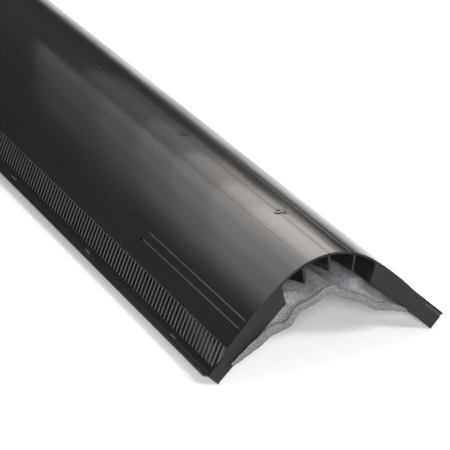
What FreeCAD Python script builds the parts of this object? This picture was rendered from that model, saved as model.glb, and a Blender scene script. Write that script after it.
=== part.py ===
"""Ridge vent: a moulded cover bent over the ridge, with louvred sides, and its weather filter.

The cover is moulded flat and bent on site, so each flank is drawn flat, as it leaves the mould:
y is the distance from the ridge line along the sheet and z is the height above the roof deck.
The flank is then tilted to the roof pitch and joined to the bent crown.
World frame: X along the ridge, Y across it, Z up, origin under the middle of the vent at floor level.
Lengths are in millimetres and angles in degrees.
"""
import FreeCAD, Part
import math
import os
import Sketcher

# Driving dimensions: alias, value, meaning
DIMENSIONS = [
    ("vent_length", 1219.0, "length of one piece"),
    ("roof_pitch", 43.5, "slope of each flank"),
    ("crown_radius", 68.0, "outer radius of the bent crown"),
    ("sheet_thickness", 2.0, "wall of the top sheet"),
    ("sheet_reach", 123.3, "ridge line to the edge of the sheet, measured flat"),
    ("vent_height", 18.2, "roof deck to the outer face of the sheet"),
    ("edge_drop", 0.8, "height lost at the rolled edge of the sheet"),
    ("edge_round", 1.6, "width of the rolled edge of the sheet"),
    ("louvre_run", 21.5, "flat width of the sloping louvre panel"),
    ("louvre_drop", 9.4, "height lost over the louvre panel"),
    ("louvre_wall", 1.6, "wall of the louvre panel and gutter floor"),
    ("slot_pitch", 6.35, "spacing of the louvre slots"),
    ("slot_width", 3.6, "width of one louvre slot"),
    ("slot_margin", 1.8, "solid strip left above and below the slots"),
    ("slot_end_gap", 4.5, "end of the vent to the edge of the first slot"),
    ("gutter_width", 5.2, "flat width of the gutter floor"),
    ("baffle_wall", 1.6, "wall of the wind baffle"),
    ("lip_rise", 5.4, "height of the flared lip"),
    ("lip_flare", 2.4, "how far the lip leans outwards"),
    ("lip_drop", 0.2, "tip of the lip below the outer face of the sheet"),
    ("lip_end_gap", 1.5, "end of the vent to the end of the lip"),
    ("tab_length", 8.5, "length of a stop tab behind the lip"),
    ("tab_width", 2.2, "thickness of a stop tab"),
    ("tab_height", 4.0, "height of a stop tab"),
    ("tab_first", 85.0, "end of the vent to the first stop tab"),
    ("tab_pitch", 186.0, "spacing of the stop tabs"),
    ("end_wall", 2.0, "wall of the end plugs"),
    ("wall_lift", 0.5, "lower edge of the end plugs and ribs above the foot of the baffle"),
    ("end_sill_run", 6.5, "width of the step in the end plug beyond the sheet edge"),
    ("end_sill_drop", 4.4, "depth of that step below the outer face of the sheet"),
    ("fold_start", 53.3, "ridge line to the first fold of the end plug, at the sheet"),
    ("fold_slant", 8.0, "extra distance of that fold at its lower edge"),
    ("pleat_count", 4, "pleats in each end plug"),
    ("pleat_pitch", 26.5, "spacing of the pleats at the level of the crown"),
    ("pleat_depth", 38.0, "depth of the pleats, measured along the ridge"),
    ("pleat_wall", 1.6, "wall of a pleat"),
    ("pleat_flat", 2.2, "width of the flat nose of a pleat"),
    ("pleat_drop", 17.0, "lower edge of the pleats below the outer face of the sheet"),
    ("pleat_meet", 200.0, "distance below the crown at which the leaning folds would meet"),
    ("rib_pitch", 101.6, "spacing of the support ribs"),
    ("rib_wall", 1.8, "wall of a support rib"),
    ("rib_root", 100.0, "ridge line to the upper inner corner of a rib"),
    ("rib_toe", 112.0, "ridge line to the lower inner corner of a rib"),
    ("guide_near", 95.0, "ridge line to the upper guide line"),
    ("guide_far", 103.6, "ridge line to the lower guide line"),
    ("guide_inset", 4.3, "end of the vent to the start of the guide lines"),
    ("guide_length", 190.0, "length of the guide lines"),
    ("guide_width", 1.0, "width of a guide line"),
    ("guide_height", 0.5, "height of a guide line"),
    ("score_offset", 21.2, "spacing of the score lines along the crown"),
    ("score_width", 0.7, "width of a score line"),
    ("score_height", 0.3, "height of a score line"),
    ("boss_radius", 4.0, "radius of a round boss on the crown"),
    ("boss_height", 0.8, "height of a boss"),
    ("boss_pit", 0.9, "radius of the pit in the middle of a boss"),
    ("pip_radius", 1.7, "radius of the pip beside a boss"),
    ("pip_along", 3.8, "boss to its pip, along the ridge"),
    ("pip_across", 3.6, "boss to its pip, across the ridge"),
    ("boss_first", 92.0, "end of the vent to the first boss"),
    ("boss_pitch", 192.5, "spacing of the bosses"),
    ("boss_pairs", 3, "bosses on each half of the crown"),
    ("nail_radius", 2.0, "radius of a nail hole"),
    ("nail_inset", 198.0, "end of the vent to a nail hole"),
    ("nail_reach", 104.3, "ridge line to the nail holes"),
    ("filter_thickness", 5.5, "thickness of the filter mat"),
    ("filter_reach", 125.0, "ridge line to the edge of the filter, measured flat"),
    ("filter_seat", 20.0, "width of the filter strip that lies against the ribs"),
    ("filter_gap", 0.3, "clearance between the filter and the ribs"),
    ("filter_apex_drop", 33.0, "top of the slack filter below the crown"),
    ("filter_inset", 0.5, "end of the vent to the end of the filter"),
]

SINK = 0.6      # how far added relief is rooted in the wall that carries it
OVERCUT = 2.0   # how far a cutter stands clear of the wall that it cuts

doc = FreeCAD.newDocument("ridge_vent")
sheet = doc.addObject("Spreadsheet::Sheet", "dims")
for row, (alias, amount, meaning) in enumerate(DIMENSIONS, start=1):
    sheet.set(f"A{row}", meaning)
    sheet.set(f"B{row}", str(amount))
    sheet.setAlias(f"B{row}", alias)
doc.recompute()


def size(alias):
    """The value that the sheet holds for one alias."""
    return float(getattr(sheet, alias))


# Places on the flat flank, as expressions of the sheet
LOUVRE_TOP = "(dims.vent_height - dims.edge_drop)"
LOUVRE_FOOT = "(dims.sheet_reach + dims.louvre_run)"
GUTTER_TOP = f"({LOUVRE_TOP} - dims.louvre_drop)"
GUTTER_UNDER = f"({GUTTER_TOP} - dims.louvre_wall)"
BAFFLE_IN = f"({LOUVRE_FOOT} + dims.gutter_width)"
BAFFLE_OUT = f"({BAFFLE_IN} + dims.baffle_wall)"
LIP_TIP = "(dims.vent_height - dims.lip_drop)"
LIP_BASE = f"({LIP_TIP} - dims.lip_rise)"
LOUVRE_SLOPE = "(dims.louvre_drop / dims.louvre_run)"
LOUVRE_UPRIGHT = f"(dims.louvre_wall * sqrt(1 + {LOUVRE_SLOPE} ^ 2))"
SHEET_UNDER = "(dims.vent_height - dims.sheet_thickness)"
SHEET_MIDDLE = "(dims.vent_height - dims.sheet_thickness / 2)"
INNER_TOP = f"(dims.sheet_reach + ({LOUVRE_TOP} - {LOUVRE_UPRIGHT} - {SHEET_UNDER}) / {LOUVRE_SLOPE})"
INNER_FOOT = f"(dims.sheet_reach + ({LOUVRE_TOP} - {LOUVRE_UPRIGHT} - {GUTTER_UNDER}) / {LOUVRE_SLOPE})"

# Where the flat flank meets the bent crown, and the placement that tilts it to the roof pitch
CROWN_END = "(dims.crown_radius * dims.roof_pitch * pi / 180)"
TILT_RISE = f"({BAFFLE_OUT} * sin(dims.roof_pitch))"
TILT_SHIFT = (
    f"((dims.crown_radius - dims.vent_height) * sin(dims.roof_pitch)"
    f" - {CROWN_END} * cos(dims.roof_pitch))"
)
CROWN_CENTRE = (
    f"({TILT_RISE} - (dims.crown_radius - dims.vent_height) * cos(dims.roof_pitch)"
    f" - {CROWN_END} * sin(dims.roof_pitch))"
)


def worked_out(expression):
    """The number that an expression of the sheet gives."""
    return float(sheet.evalExpression(expression))


def origin_plane(body, role):
    """One of a body's own origin planes."""
    return next(item for item in body.Origin.OriginFeatures if item.Role == role)


def draw_outline(body, name, points):
    """A closed outline on the YZ plane of a body, with each corner bound to the sheet."""
    sketch = body.newObject("Sketcher::SketchObject", name)
    sketch.AttachmentSupport = [(origin_plane(body, "YZ_Plane"), "")]
    sketch.MapMode = "FlatFace"
    corners = [FreeCAD.Vector(worked_out(across), worked_out(up), 0) for across, up in points]
    for here, there in zip(corners, corners[1:] + corners[:1]):
        sketch.addGeometry(Part.LineSegment(here, there))
    last = len(points) - 1
    for index, (across, up) in enumerate(points):
        following = 0 if index == last else index + 1
        sketch.addConstraint(Sketcher.Constraint("Coincident", index, 2, following, 1))
        place = corners[index]
        for kind, amount, expression in (("DistanceX", place.x, across), ("DistanceY", place.y, up)):
            number = sketch.addConstraint(Sketcher.Constraint(kind, -1, 1, index, 1, amount))
            sketch.setExpression(f"Constraints[{number}]", expression)
    return sketch


def pad_outline(body, name, points, length, start="0"):
    """An outline padded along X from a start that the sheet gives."""
    sketch = draw_outline(body, name + "_outline", points)
    sketch.setExpression("AttachmentOffset.Base.z", start)
    pad = body.newObject("PartDesign::Pad", name)
    pad.Profile = sketch
    pad.setExpression("Length", length)
    return pad


def tilt(item):
    """Turns something drawn on the flat flank to the roof pitch, on the right side of the ridge."""
    item.Placement = FreeCAD.Placement(FreeCAD.Vector(), FreeCAD.Rotation(FreeCAD.Vector(1, 0, 0), 0))
    item.setExpression("Placement.Base.x", "-dims.vent_length / 2")
    item.setExpression("Placement.Base.y", TILT_SHIFT)
    item.setExpression("Placement.Base.z", TILT_RISE)
    item.setExpression("Placement.Rotation.Angle", "-dims.roof_pitch")


def end_starts(thickness):
    """Starts along X of a wall at each end of the vent."""
    return ["0", f"dims.vent_length - {thickness}"]


# The right flank: sheet, louvre panel, gutter and baffle in one section, then lip, end walls and ribs
def build_flank():
    body = doc.addObject("PartDesign::Body", "flank")
    pad_outline(body, "flank_section", [
        (CROWN_END, "dims.vent_height"),
        ("dims.sheet_reach - dims.edge_round", "dims.vent_height"),
        ("dims.sheet_reach", LOUVRE_TOP),
        (LOUVRE_FOOT, GUTTER_TOP),
        (BAFFLE_IN, GUTTER_TOP),
        (BAFFLE_IN, LIP_BASE),
        (BAFFLE_OUT, LIP_BASE),
        (BAFFLE_OUT, "0"),
        (BAFFLE_IN, "0"),
        (BAFFLE_IN, GUTTER_UNDER),
        (INNER_FOOT, GUTTER_UNDER),
        (INNER_TOP, SHEET_UNDER),
        (CROWN_END, SHEET_UNDER),
    ], "dims.vent_length")
    pad_outline(body, "lip", [
        (BAFFLE_IN, LIP_BASE),
        (f"{BAFFLE_IN} + dims.lip_flare", LIP_TIP),
        (f"{BAFFLE_OUT} + dims.lip_flare", LIP_TIP),
        (BAFFLE_OUT, LIP_BASE),
    ], "dims.vent_length - 2 * dims.lip_end_gap", "dims.lip_end_gap")
    for number, start in enumerate(end_starts("dims.end_wall")):
        pad_outline(body, f"end_wall_{number}", [
            ("dims.fold_start", SHEET_MIDDLE),
            ("dims.sheet_reach - dims.edge_round", SHEET_MIDDLE),
            ("dims.sheet_reach + dims.end_sill_run", "dims.vent_height - dims.end_sill_drop"),
            (BAFFLE_OUT, "dims.vent_height - dims.end_sill_drop"),
            (BAFFLE_OUT, "dims.wall_lift"),
            ("dims.fold_start + dims.fold_slant", "dims.wall_lift"),
        ], "dims.end_wall", start)
    add_ribs(body)
    doc.recompute()
    return body


def add_ribs(body):
    """Support ribs behind the louvres, spaced out from the middle of the vent."""
    reach = size("vent_length") / 2 - size("rib_pitch") / 2
    each_way = int(reach // size("rib_pitch"))
    for number in range(-each_way, each_way + 1):
        start = f"dims.vent_length / 2 + {number} * dims.rib_pitch - dims.rib_wall / 2"
        pad_outline(body, f"rib_{number + each_way}", [
            ("dims.rib_root", SHEET_MIDDLE),
            (INNER_TOP, SHEET_MIDDLE),
            (INNER_FOOT, f"{GUTTER_UNDER} + dims.louvre_wall / 2"),
            (f"{BAFFLE_IN} + dims.baffle_wall / 2", f"{GUTTER_UNDER} + dims.louvre_wall / 2"),
            (f"{BAFFLE_IN} + dims.baffle_wall / 2", "dims.wall_lift"),
            ("dims.rib_toe", "dims.wall_lift"),
        ], "dims.rib_wall", start)


def shape_feature(name, shape):
    """A document object that holds a shape worked out from the sheet."""
    item = doc.addObject("Part::Feature", name)
    item.Shape = shape
    return item


def slot_cutters():
    """Cutters for the louvre slots, centred along the flat flank."""
    run = math.hypot(size("louvre_run"), size("louvre_drop"))
    long_side = run - 2 * size("slot_margin")
    deep_side = size("louvre_wall") + 2 * OVERCUT
    cutter = Part.makeBox(size("slot_width"), long_side, deep_side)
    cutter.translate(FreeCAD.Vector(0, size("slot_margin"), OVERCUT - deep_side))
    slope = math.degrees(math.atan2(size("louvre_drop"), size("louvre_run")))
    cutter.rotate(FreeCAD.Vector(), FreeCAD.Vector(1, 0, 0), -slope)
    usable = size("vent_length") - 2 * size("slot_end_gap") - size("slot_width")
    gaps = int(usable // size("slot_pitch"))
    first = (size("vent_length") - gaps * size("slot_pitch") - size("slot_width")) / 2
    level = worked_out(LOUVRE_TOP)
    cutters = []
    for number in range(gaps + 1):
        along = first + number * size("slot_pitch")
        cutters.append(cutter.translated(FreeCAD.Vector(along, size("sheet_reach"), level)))
    return Part.makeCompound(cutters)


def both_ends(distance):
    """A distance from each end of the vent, along X on the flat flank."""
    return [distance, size("vent_length") - distance]


def nail_cutters():
    """Cutters for the nail holes near each end of the flank."""
    holes = []
    depth = size("sheet_thickness") + 2 * OVERCUT
    for along in both_ends(size("nail_inset")):
        foot = FreeCAD.Vector(along, size("nail_reach"), size("vent_height") + OVERCUT - depth)
        holes.append(Part.makeCylinder(size("nail_radius"), depth, foot))
    return Part.makeCompound(holes)


def flank_relief():
    """Guide lines on the sheet and stop tabs behind the lip, on the flat flank."""
    pieces = []
    line_height = size("guide_height") + SINK
    starts = [size("guide_inset"), size("vent_length") - size("guide_inset") - size("guide_length")]
    for along in starts:
        for across in (size("guide_near"), size("guide_far")):
            corner = FreeCAD.Vector(along, across - size("guide_width") / 2, size("vent_height") - SINK)
            pieces.append(Part.makeBox(size("guide_length"), size("guide_width"), line_height, corner))
    tabs = int((size("vent_length") / 2 - size("tab_first")) // size("tab_pitch")) + 1
    inner_face = worked_out(BAFFLE_IN) - size("tab_width")
    floor_level = worked_out(GUTTER_TOP) - SINK
    for number in range(tabs):
        for along in both_ends(size("tab_first") + number * size("tab_pitch")):
            corner = FreeCAD.Vector(along - size("tab_length") / 2, inner_face, floor_level)
            tab_size = (size("tab_length"), size("tab_width") + SINK, size("tab_height") + SINK)
            pieces.append(Part.makeBox(*tab_size, corner))
    return Part.makeCompound(pieces)


# The bent crown between the flanks
def build_crown():
    body = doc.addObject("PartDesign::Body", "crown")
    sketch = body.newObject("Sketcher::SketchObject", "crown_section")
    sketch.AttachmentSupport = [(origin_plane(body, "XZ_Plane"), "")]
    sketch.MapMode = "FlatFace"
    half = size("vent_length") / 2
    outer = size("crown_radius")
    inner = outer - size("sheet_thickness")
    places = [(-half, inner), (half, inner), (half, outer), (-half, outer)]
    corners = [FreeCAD.Vector(along, up, 0) for along, up in places]
    for here, there in zip(corners, corners[1:] + corners[:1]):
        sketch.addGeometry(Part.LineSegment(here, there))
    for index in range(len(corners)):
        following = (index + 1) % len(corners)
        sketch.addConstraint(Sketcher.Constraint("Coincident", index, 2, following, 1))
        sketch.addConstraint(Sketcher.Constraint("Vertical" if index % 2 else "Horizontal", index))
    bound = [
        (Sketcher.Constraint("DistanceX", 0, 1, 0, 2, 2 * half), "dims.vent_length"),
        (Sketcher.Constraint("DistanceX", 0, 1, -1, 1, half), "dims.vent_length / 2"),
        (Sketcher.Constraint("DistanceY", -1, 1, 2, 1, outer), "dims.crown_radius"),
        (Sketcher.Constraint("DistanceY", 1, 1, 1, 2, outer - inner), "dims.sheet_thickness"),
    ]
    for constraint, expression in bound:
        number = sketch.addConstraint(constraint)
        sketch.setExpression(f"Constraints[{number}]", expression)
    bend = body.newObject("PartDesign::Revolution", "crown_bend")
    bend.Profile = sketch
    bend.ReferenceAxis = (next(item for item in body.Origin.OriginFeatures if item.Role == "X_Axis"), [""])
    bend.Midplane = True
    bend.setExpression("Angle", "2 * dims.roof_pitch")
    body.setExpression("Placement.Base.z", CROWN_CENTRE)
    doc.recompute()
    return body


def on_crown(item, offset):
    """Moves a shape drawn at the top of the crown to an offset along the bend."""
    moved = item.copy()
    centre = FreeCAD.Vector(0, 0, worked_out(CROWN_CENTRE))
    moved.rotate(centre, FreeCAD.Vector(1, 0, 0), -math.degrees(offset / size("crown_radius")))
    return moved


def crown_relief():
    """Score lines along the bend and the row of round bosses on the ridge line."""
    top = worked_out(CROWN_CENTRE) + size("crown_radius")
    half = size("vent_length") / 2
    corner = FreeCAD.Vector(-half, -size("score_width") / 2, top - SINK)
    line = Part.makeBox(size("vent_length"), size("score_width"), size("score_height") + SINK, corner)
    pieces = [on_crown(line, step * size("score_offset")) for step in (-1, 0, 1)]
    rise = FreeCAD.Vector(0, 0, SINK)
    beside = FreeCAD.Vector(size("pip_along"), size("pip_across"), 0)
    for number in range(int(size("boss_pairs"))):
        for along in both_ends(size("boss_first") + number * size("boss_pitch")):
            foot = FreeCAD.Vector(along - half, 0, top - SINK)
            boss = Part.makeCylinder(size("boss_radius"), size("boss_height") + SINK, foot)
            pit = Part.makeCylinder(size("boss_pit"), size("boss_height"), foot + rise)
            pip = Part.makeCylinder(size("pip_radius"), size("boss_height") + SINK, foot + beside)
            pieces += [boss.cut(pit), pip]
    return pieces


# The pleated part of the end plugs, which folds up like a bellows when the crown is bent
def under_sheet(shallow, deep, reach):
    """A slab that follows the underside of the bent sheet between two depths."""
    pitch = math.radians(size("roof_pitch"))
    along = FreeCAD.Vector(0, math.cos(pitch), -math.sin(pitch))
    outward = FreeCAD.Vector(0, math.sin(pitch), math.cos(pitch))
    centre = FreeCAD.Vector(0, 0, worked_out(CROWN_CENTRE))
    edges = []
    rims = []
    for depth in (shallow, deep):
        radius = size("crown_radius") - depth
        right = centre + outward * radius
        left = centre + FreeCAD.Vector(0, -outward.y, outward.z) * radius
        top = centre + FreeCAD.Vector(0, 0, radius)
        far_right = right + along * (reach - worked_out(CROWN_END))
        far_left = FreeCAD.Vector(far_right.x, -far_right.y, far_right.z)
        edges.append(Part.Arc(left, top, right).toShape())
        edges.append(Part.LineSegment(right, far_right).toShape())
        edges.append(Part.LineSegment(far_left, left).toShape())
        rims.append((far_left, far_right))
    edges.extend(Part.LineSegment(upper, lower).toShape() for upper, lower in zip(*rims))
    return Part.Face(Part.Wire(Part.__sortEdges__(edges)))


def pleat_line(scale):
    """Plan of the pleats, as (depth, across) corners, shrunk towards the nose on the ridge line."""
    folds = 2 * int(size("pleat_count"))
    half_nose = size("pleat_flat") / 2
    corners = []
    for fold in range(folds + 1):
        middle = (fold - folds / 2) * size("pleat_pitch") / 2
        depth = size("pleat_depth") if fold % 2 else 0.0
        corners += [(depth, middle - half_nose), (depth, middle + half_nose)]
    return [(depth * scale, across * scale) for depth, across in corners]


def build_pleats():
    """The bellows at the +X end."""
    top = worked_out(CROWN_CENTRE) + size("crown_radius")
    half = size("vent_length") / 2
    face_angle = math.atan2(size("pleat_pitch") / 2 - size("pleat_flat"), size("pleat_depth"))
    shift = size("pleat_wall") / math.sin(face_angle)
    wires = []
    for level in (0.0, -size("fold_start")):
        scale = (size("pleat_meet") + level) / size("pleat_meet")
        front = pleat_line(scale)
        outline = [(half - depth, across) for depth, across in front]
        outline += [(half - depth - shift * scale, across) for depth, across in reversed(front)]
        corners = [FreeCAD.Vector(along, across, top + level) for along, across in outline]
        wires.append(Part.makePolygon(corners + corners[:1]))
    bellows = Part.makeLoft(wires, True, True)
    slab = under_sheet(size("sheet_thickness") / 2, size("pleat_drop"), size("sheet_reach"))
    slab.translate(FreeCAD.Vector(half, 0, 0))
    return bellows.common(slab.extrude(FreeCAD.Vector(-size("vent_length") / 2, 0, 0)))


def fuse(name, items):
    """One solid from several document objects."""
    joined = doc.addObject("Part::MultiFuse", name)
    joined.Shapes = items
    joined.Refine = True
    return joined


def mirrored(name, source, normal):
    """A mirror image of a document object about a plane through the origin."""
    image = doc.addObject("Part::Mirroring", name)
    image.Source = source
    image.Normal = FreeCAD.Vector(*normal)
    return image


def gather(name, items):
    """A compound of document objects, kept apart."""
    group = doc.addObject("Part::Compound", name)
    group.Links = items
    return group


def build_cover():
    flank = build_flank()
    relief = shape_feature("flank_relief", flank_relief())
    slots = shape_feature("louvre_slots", slot_cutters())
    nails = shape_feature("nail_holes", nail_cutters())
    for item in (flank, relief, slots, nails):
        tilt(item)
    pleats = shape_feature("front_pleats", build_pleats())
    marks = [shape_feature(f"crown_mark_{number}", mark) for number, mark in enumerate(crown_relief())]
    blank = fuse("cover_blank", [
        build_crown(),
        flank,
        mirrored("left_flank", flank, (0, 1, 0)),
        relief,
        mirrored("left_relief", relief, (0, 1, 0)),
        pleats,
        mirrored("rear_pleats", pleats, (1, 0, 0)),
    ] + marks)
    openings = gather("openings", [
        slots,
        mirrored("left_slots", slots, (0, 1, 0)),
        nails,
        mirrored("left_nails", nails, (0, 1, 0)),
    ])
    cover = doc.addObject("Part::Cut", "vent_cover")
    cover.Base = blank
    cover.Tool = openings
    cover.Label = "vent_cover"
    return cover


# The weather filter: a slack mat, fastened along both flanks and hanging in a tent below the crown
def build_filter():
    pitch = math.radians(size("roof_pitch"))
    tilt_out = FreeCAD.Vector(0, math.cos(pitch), -math.sin(pitch))
    tilt_in = FreeCAD.Vector(0, -math.sin(pitch), -math.cos(pitch))
    base = FreeCAD.Vector(0, worked_out(TILT_SHIFT), worked_out(TILT_RISE))
    top = worked_out(CROWN_CENTRE) + size("crown_radius")
    thick = size("filter_thickness")

    def seat(reach, depth):
        return base + tilt_out * reach + tilt_in * (size("filter_gap") - size("wall_lift") + depth)

    seat_start = size("filter_reach") - size("filter_seat")
    apex = FreeCAD.Vector(0, 0, top - size("filter_apex_drop"))
    knee = seat(seat_start, 0)
    leg = (knee - apex).normalize()
    lean = math.acos(leg.y)
    under_apex = apex - FreeCAD.Vector(0, 0, thick / math.cos(lean))
    half_turn = (pitch - lean) / 2
    under_knee = seat(seat_start + thick * math.tan(half_turn), thick)
    right = [seat(size("filter_reach"), 0), seat(size("filter_reach"), thick), under_knee]
    left = [FreeCAD.Vector(place.x, -place.y, place.z) for place in right]
    knee_left = FreeCAD.Vector(knee.x, -knee.y, knee.z)
    outline = [apex, knee] + right + [under_apex] + left[::-1] + [knee_left]
    face = Part.Face(Part.makePolygon(outline + outline[:1]))
    long_side = size("vent_length") - 2 * size("filter_inset")
    mat = face.extrude(FreeCAD.Vector(long_side, 0, 0))
    item = shape_feature("weather_filter", mat)
    item.Label = "weather_filter"
    item.Placement = FreeCAD.Placement(FreeCAD.Vector(-long_side / 2, 0, 0), FreeCAD.Rotation())
    return item


parts = [build_cover(), build_filter()]
doc.recompute()

failed = [item.Name for item in doc.Objects if "Invalid" in item.State or "Error" in item.State]
if failed:
    raise RuntimeError("these objects failed: " + ", ".join(failed))
for part in parts:
    if part.Shape.isNull() or not part.Shape.isValid():
        raise RuntimeError(part.Label + " has no valid shape")

os.makedirs("parts", exist_ok=True)
for part in parts:
    box = part.Shape.BoundBox
    print(part.Label, len(part.Shape.Solids), "solid", round(part.Shape.Volume / 1000.0, 1), "cm3", box)
    part.Shape.exportStep(f"parts/{part.Label}.step")
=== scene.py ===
"""Looks of a ridge vent: the moulded cover, its fibre mat and a white studio, as a Blender add-on.

The cover is modelled flat, as it leaves the mould, and then bent over the ridge.
A flat place is (along, across, up): along the vent, from the ridge line, and above the roof deck.
Lengths are in metres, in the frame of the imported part.
"""
import bmesh
import bpy
import math
from mathutils import Matrix, Vector, noise


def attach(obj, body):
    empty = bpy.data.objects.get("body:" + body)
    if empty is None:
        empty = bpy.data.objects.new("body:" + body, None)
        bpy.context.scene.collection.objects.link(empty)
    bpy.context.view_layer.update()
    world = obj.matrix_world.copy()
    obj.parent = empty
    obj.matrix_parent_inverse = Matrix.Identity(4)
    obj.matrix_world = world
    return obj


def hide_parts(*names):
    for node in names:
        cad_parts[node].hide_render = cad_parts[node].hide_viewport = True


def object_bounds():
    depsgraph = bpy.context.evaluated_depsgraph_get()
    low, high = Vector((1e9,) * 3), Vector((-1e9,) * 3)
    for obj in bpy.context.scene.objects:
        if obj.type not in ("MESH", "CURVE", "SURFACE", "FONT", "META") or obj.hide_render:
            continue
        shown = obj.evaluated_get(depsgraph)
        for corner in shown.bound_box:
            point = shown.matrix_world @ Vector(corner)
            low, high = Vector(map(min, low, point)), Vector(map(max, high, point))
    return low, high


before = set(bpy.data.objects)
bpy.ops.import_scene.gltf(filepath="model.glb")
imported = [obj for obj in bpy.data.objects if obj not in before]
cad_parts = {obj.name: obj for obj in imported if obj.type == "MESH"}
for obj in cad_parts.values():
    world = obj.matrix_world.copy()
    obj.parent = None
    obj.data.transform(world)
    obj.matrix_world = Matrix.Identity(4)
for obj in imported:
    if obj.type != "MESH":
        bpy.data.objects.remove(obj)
CAD_LOW, CAD_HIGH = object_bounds()

bl_info = {
    "name": "Ridge vent",
    "version": (1, 0, 0),
    "blender": (4, 5, 0),
    "location": "View3D > Sidebar > Ridge Vent",
    "description": "Builds a bent ridge vent with its fibre mat, ready for a product picture",
    "category": "Add Mesh",
}

MM = 0.001
SHARP = math.radians(32.0)      # folds steeper than this stay crisp when shaded
ROOT = 0.5 * MM                 # how deep one moulded feature is rooted in the next
SHY = 0.06 * MM                 # how far a feature's face lies behind its neighbour's, where they overlap
WIDE_EDGE = 30.0 * MM           # edges of a section wider than this are divided, to follow the belly
WIDE_CUTS = 15


def length_prop(name, millimetres, description):
    """A length property with its default in millimetres."""
    return bpy.props.FloatProperty(
        name=name, description=description, default=millimetres * MM, unit="LENGTH", precision=4)


def colour_prop(name, shade, description):
    """A colour property."""
    return bpy.props.FloatVectorProperty(
        name=name, description=description, default=shade, subtype="COLOR", size=3, min=0.0, max=1.0)


class CoverSizes(bpy.types.PropertyGroup):
    """Sizes of the moulded cover, measured flat."""
    length: bpy.props.FloatProperty(
        name="Length", description="Length of one piece, as packed",
        default=CAD_HIGH.x - CAD_LOW.x, unit="LENGTH", precision=4)
    pitch: bpy.props.FloatProperty(
        name="Roof pitch", description="Slope of each flank",
        default=math.radians(43.5), subtype="ANGLE")
    crown: length_prop("Crown radius", 68.0, "Outer radius of the bent crown")
    bow: length_prop("Flank bow", 1.6, "How far the sheet bellies out between crown and edge")
    sheet: length_prop("Sheet", 2.0, "Wall of the top sheet")
    reach: length_prop("Sheet reach", 123.3, "Ridge line to the edge of the sheet")
    height: length_prop("Height", 18.2, "Roof deck to the outer face of the sheet")
    roll: length_prop("Edge drop", 0.8, "Height lost at the edge of the sheet")
    run: length_prop("Louvre run", 21.5, "Flat width of the sloping louvre panel")
    drop: length_prop("Louvre drop", 9.4, "Height lost over the louvre panel")
    wall: length_prop("Louvre wall", 1.6, "Wall of the louvre panel, gutter and baffle")
    slot_pitch: length_prop("Slot pitch", 6.35, "Spacing of the louvre slots")
    slot_width: length_prop("Slot width", 3.6, "Width of one louvre slot")
    gutter: length_prop("Gutter", 5.2, "Flat width of the gutter floor")
    lip_rise: length_prop("Lip rise", 5.4, "Height of the flared lip")
    lip_flare: length_prop("Lip flare", 2.4, "How far the lip leans outwards")
    end_wall: length_prop("End wall", 2.0, "Wall of the end plugs")
    pleats: bpy.props.IntProperty(name="Pleats", description="Pleats in each end plug", default=4)
    pleat_pitch: length_prop("Pleat pitch", 26.5, "Spacing of the pleats at the crown")
    pleat_depth: length_prop("Pleat depth", 38.0, "Depth of the pleats along the vent")
    pleat_drop: length_prop("Pleat drop", 17.0, "Lower edge of the pleats below the outer face")


class MatSizes(bpy.types.PropertyGroup):
    """Sizes of the fibre mat under the cover."""
    thickness: length_prop("Thickness", 5.5, "Thickness of the mat")
    reach: length_prop("Reach", 125.0, "Ridge line to the edge of the mat, measured flat")
    seat: length_prop("Seat", 20.0, "Width of the strip that lies against the ribs")
    apex: length_prop("Apex drop", 33.0, "Top of the slack mat below the crown")
    slack: length_prop("Slack", 1.4, "Height of the slack waves in the mat")
    wave: length_prop("Wave", 29.0, "Spacing of the slack waves, across the mat")


class VentFinish(bpy.types.PropertyGroup):
    """Colours and gloss of the finishes."""
    plastic: colour_prop("Plastic", (0.0072, 0.0073, 0.0066), "Colour of the moulded plastic")
    gloss: bpy.props.FloatProperty(
        name="Roughness", description="Roughness of the moulded plastic", default=0.2, min=0.0, max=1.0)
    fibre: colour_prop("Fibre", (0.195, 0.193, 0.201), "Middle grey of the fibre mat")
    fibre_dark: colour_prop("Dark fibre", (0.125, 0.124, 0.129), "Darkest fibres of the mat")
    fibre_light: colour_prop("Light fibre", (0.272, 0.268, 0.275), "Palest fibres of the mat")
    floor: colour_prop("Floor", (0.92, 0.92, 0.92), "Colour of the studio floor")


# Lesser sizes of the cover
BELLY_START = 0.6               # the flanks belly out from this share of the bent crown on
SHEET_EDGE = 0.4 * MM           # run of the crisp edge of the sheet
SHEET_ROUND = 0.7 * MM          # most that the edge of the sheet is rounded
SHEET_CUTS = 119
SOFTEN = 0.3 * MM               # rounding of walls, ribs, tabs and bosses
LIP_DROP = 0.2 * MM
LIP_END_GAP = 1.5 * MM
LIP_ROUND = 0.4 * MM
GUTTER_ROUND = 0.25 * MM
SLOT_MARGIN = 0.3 * MM          # strip left above the slots
SLOT_FOOT = 0.9 * MM            # strip left below the slots
SLOT_END_GAP = 4.5 * MM
BAR_SHOULDER = 0.8 * MM
END_BAR_SHOULDER = BAR_SHOULDER / 4.0
BAR_TAPER = 0.3 * MM
BAR_DEPTH = 3.2 * MM
WALL_LIFT = 0.5 * MM            # the end walls and ribs stop this far above the roof deck
SILL_INSET = 1.6 * MM           # the sloping top of the end wall starts this far inside the sheet's edge
SILL_RUN = 6.5 * MM
SILL_DROP = 4.4 * MM
FOLD_START = 53.3 * MM
FOLD_SLANT = 8.0 * MM
PLEAT_NOSE = 2.2 * MM
PLEAT_WALL = 1.6 * MM
PLEAT_CUTS = 5
PLEAT_MEET = 200.0 * MM         # the folds of the pleats lean towards a point this far below the crown
RIB_PITCH = 101.6 * MM
RIB_WALL = 1.8 * MM
RIB_ROOT = 100.0 * MM
RIB_TOE = 112.0 * MM
GUIDES = (95.0 * MM, 103.6 * MM)
GUIDE_INSET = 4.3 * MM
GUIDE_LENGTH = 190.0 * MM
GUIDE_SECTION = (1.1 * MM, 0.45 * MM)
BEAD_STEPS = 8
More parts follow.
